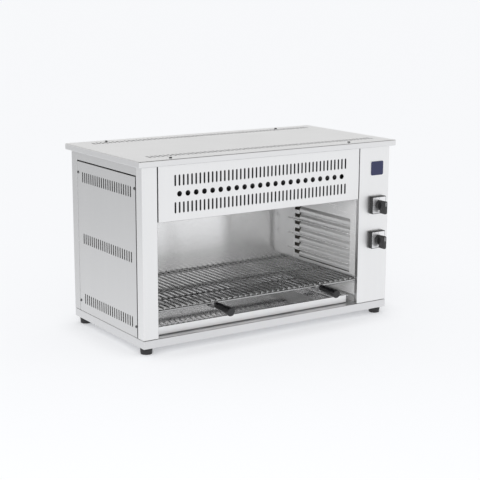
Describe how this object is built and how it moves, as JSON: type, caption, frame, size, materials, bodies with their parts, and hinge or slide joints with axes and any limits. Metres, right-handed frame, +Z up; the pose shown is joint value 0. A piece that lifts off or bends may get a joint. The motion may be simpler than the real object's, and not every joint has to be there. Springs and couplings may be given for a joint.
{
  "type": "cheese melter",
  "caption": "Open-fronted counter-top electric grill with slotted steel casing, pull-out wire rack with black handles, drip tray and rotary switches.",
  "frame": {"origin": "on the surface under the feet, at the middle of the part's box", "axes": "+X to the right seen from the front (longest extent), +Y to the back, +Z up"},
  "size_m": [0.8, 0.4919, 0.4924],
  "materials": {
    "front_steel": "brushed stainless steel, vertical grain",
    "base_steel": "brushed stainless steel, lengthwise grain",
    "lid_steel": "brushed stainless steel, lengthwise grain",
    "side_steel": "brushed stainless steel",
    "rear_steel": "mill-finish stainless steel",
    "liner_steel": "bright annealed stainless steel",
    "rail_steel": "bright annealed stainless steel, pressed",
    "mirror_steel": "mirror-polished stainless steel",
    "shield_steel": "bright aluminised sheet",
    "element_sheath": "heat-darkened metal sheath, matt",
    "mineral_wool": "mineral wool, matt and fibrous",
    "black_nylon": "moulded nylon",
    "terminal_plastic": "moulded thermoset",
    "badge_enamel": "enamelled plate, satin",
    "dark_screw": "blackened steel",
    "foot_rubber": "moulded rubber, matt",
    "zinc_steel": "zinc-plated steel",
    "bezel_plastic": "moulded thermoset, satin",
    "switch_plastic": "moulded thermoset",
    "dial_aluminium": "satin anodised aluminium",
    "knob_plastic": "moulded thermoset, semi-gloss",
    "rack_wire": "bright plated wire",
    "bracket_steel": "stainless steel",
    "handle_phenolic": "moulded phenolic, satin",
    "tray_steel": "bright stainless steel"
  },
  "bodies": {
    "casing": {"base_pan": "base_steel", "front_post": "front_steel", "control_panel": "front_steel", "vent_panel": "front_steel", "heat_shield": "shield_steel", "lid": "lid_steel", "rear_panel": "rear_steel", "back_liner": "mirror_steel", "reflector": "shield_steel", "element_front": "element_sheath", "element_rear": "element_sheath", "element_hangers": "shield_steel", "insulation_back": "mineral_wool", "insulation_top": "mineral_wool", "insulation_left": "mineral_wool", "insulation_right": "mineral_wool", "cable_gland": "black_nylon", "terminal_block": "terminal_plastic", "badge_plate": "badge_enamel", "lid_screws": "dark_screw", "rear_screws": "dark_screw", "rear_post_left": "side_steel", "rear_post_right": "side_steel", "upper_rail_left": "side_steel", "upper_rail_right": "side_steel", "side_panel_left": "side_steel", "side_panel_right": "side_steel", "liner_left": "liner_steel", "liner_right": "liner_steel", "rack_rails_left": "rail_steel", "rack_rails_right": "rail_steel", "rack_ledges_left": "rail_steel", "rack_ledges_right": "rail_steel", "side_screws_left": "dark_screw", "side_screws_right": "dark_screw", "foot_front_left": "foot_rubber", "foot_front_right": "foot_rubber", "foot_rear_left": "foot_rubber", "foot_rear_right": "foot_rubber", "foot_screws": "zinc_steel", "switch_bezel_upper": "bezel_plastic", "switch_bezel_lower": "bezel_plastic", "face_plate_upper": "dial_aluminium", "face_plate_lower": "dial_aluminium", "switch_body_upper": "switch_plastic", "switch_body_lower": "switch_plastic"},
    "rack": {"rack_cross_wires": "rack_wire", "rack_long_wires": "rack_wire", "handle_brackets": "bracket_steel", "handle_left": "handle_phenolic", "handle_right": "handle_phenolic"},
    "tray": {"drip_tray": "tray_steel"},
    "upper_knob": {"knob_upper": "knob_plastic", "shaft_upper": "zinc_steel"},
    "lower_knob": {"knob_lower": "knob_plastic", "shaft_lower": "zinc_steel"}
  },
  "joints": [
    {"name": "rack_slide", "type": "slide", "parent": "casing", "child": "rack", "axis": [0, -1, 0], "range_m": [0, 0.15]},
    {"name": "tray_slide", "type": "slide", "parent": "casing", "child": "tray", "axis": [0, -1, 0], "range_m": [0, 0.25]},
    {"name": "upper_knob_turn", "type": "hinge", "parent": "casing", "child": "upper_knob", "pos_m": [0.346, -0.152, 0.3136], "axis": [0, 1, 0], "range_deg": [0, 270]},
    {"name": "lower_knob_turn", "type": "hinge", "parent": "casing", "child": "lower_knob", "pos_m": [0.346, -0.152, 0.2167], "axis": [0, 1, 0], "range_deg": [0, 270]}
  ]
}
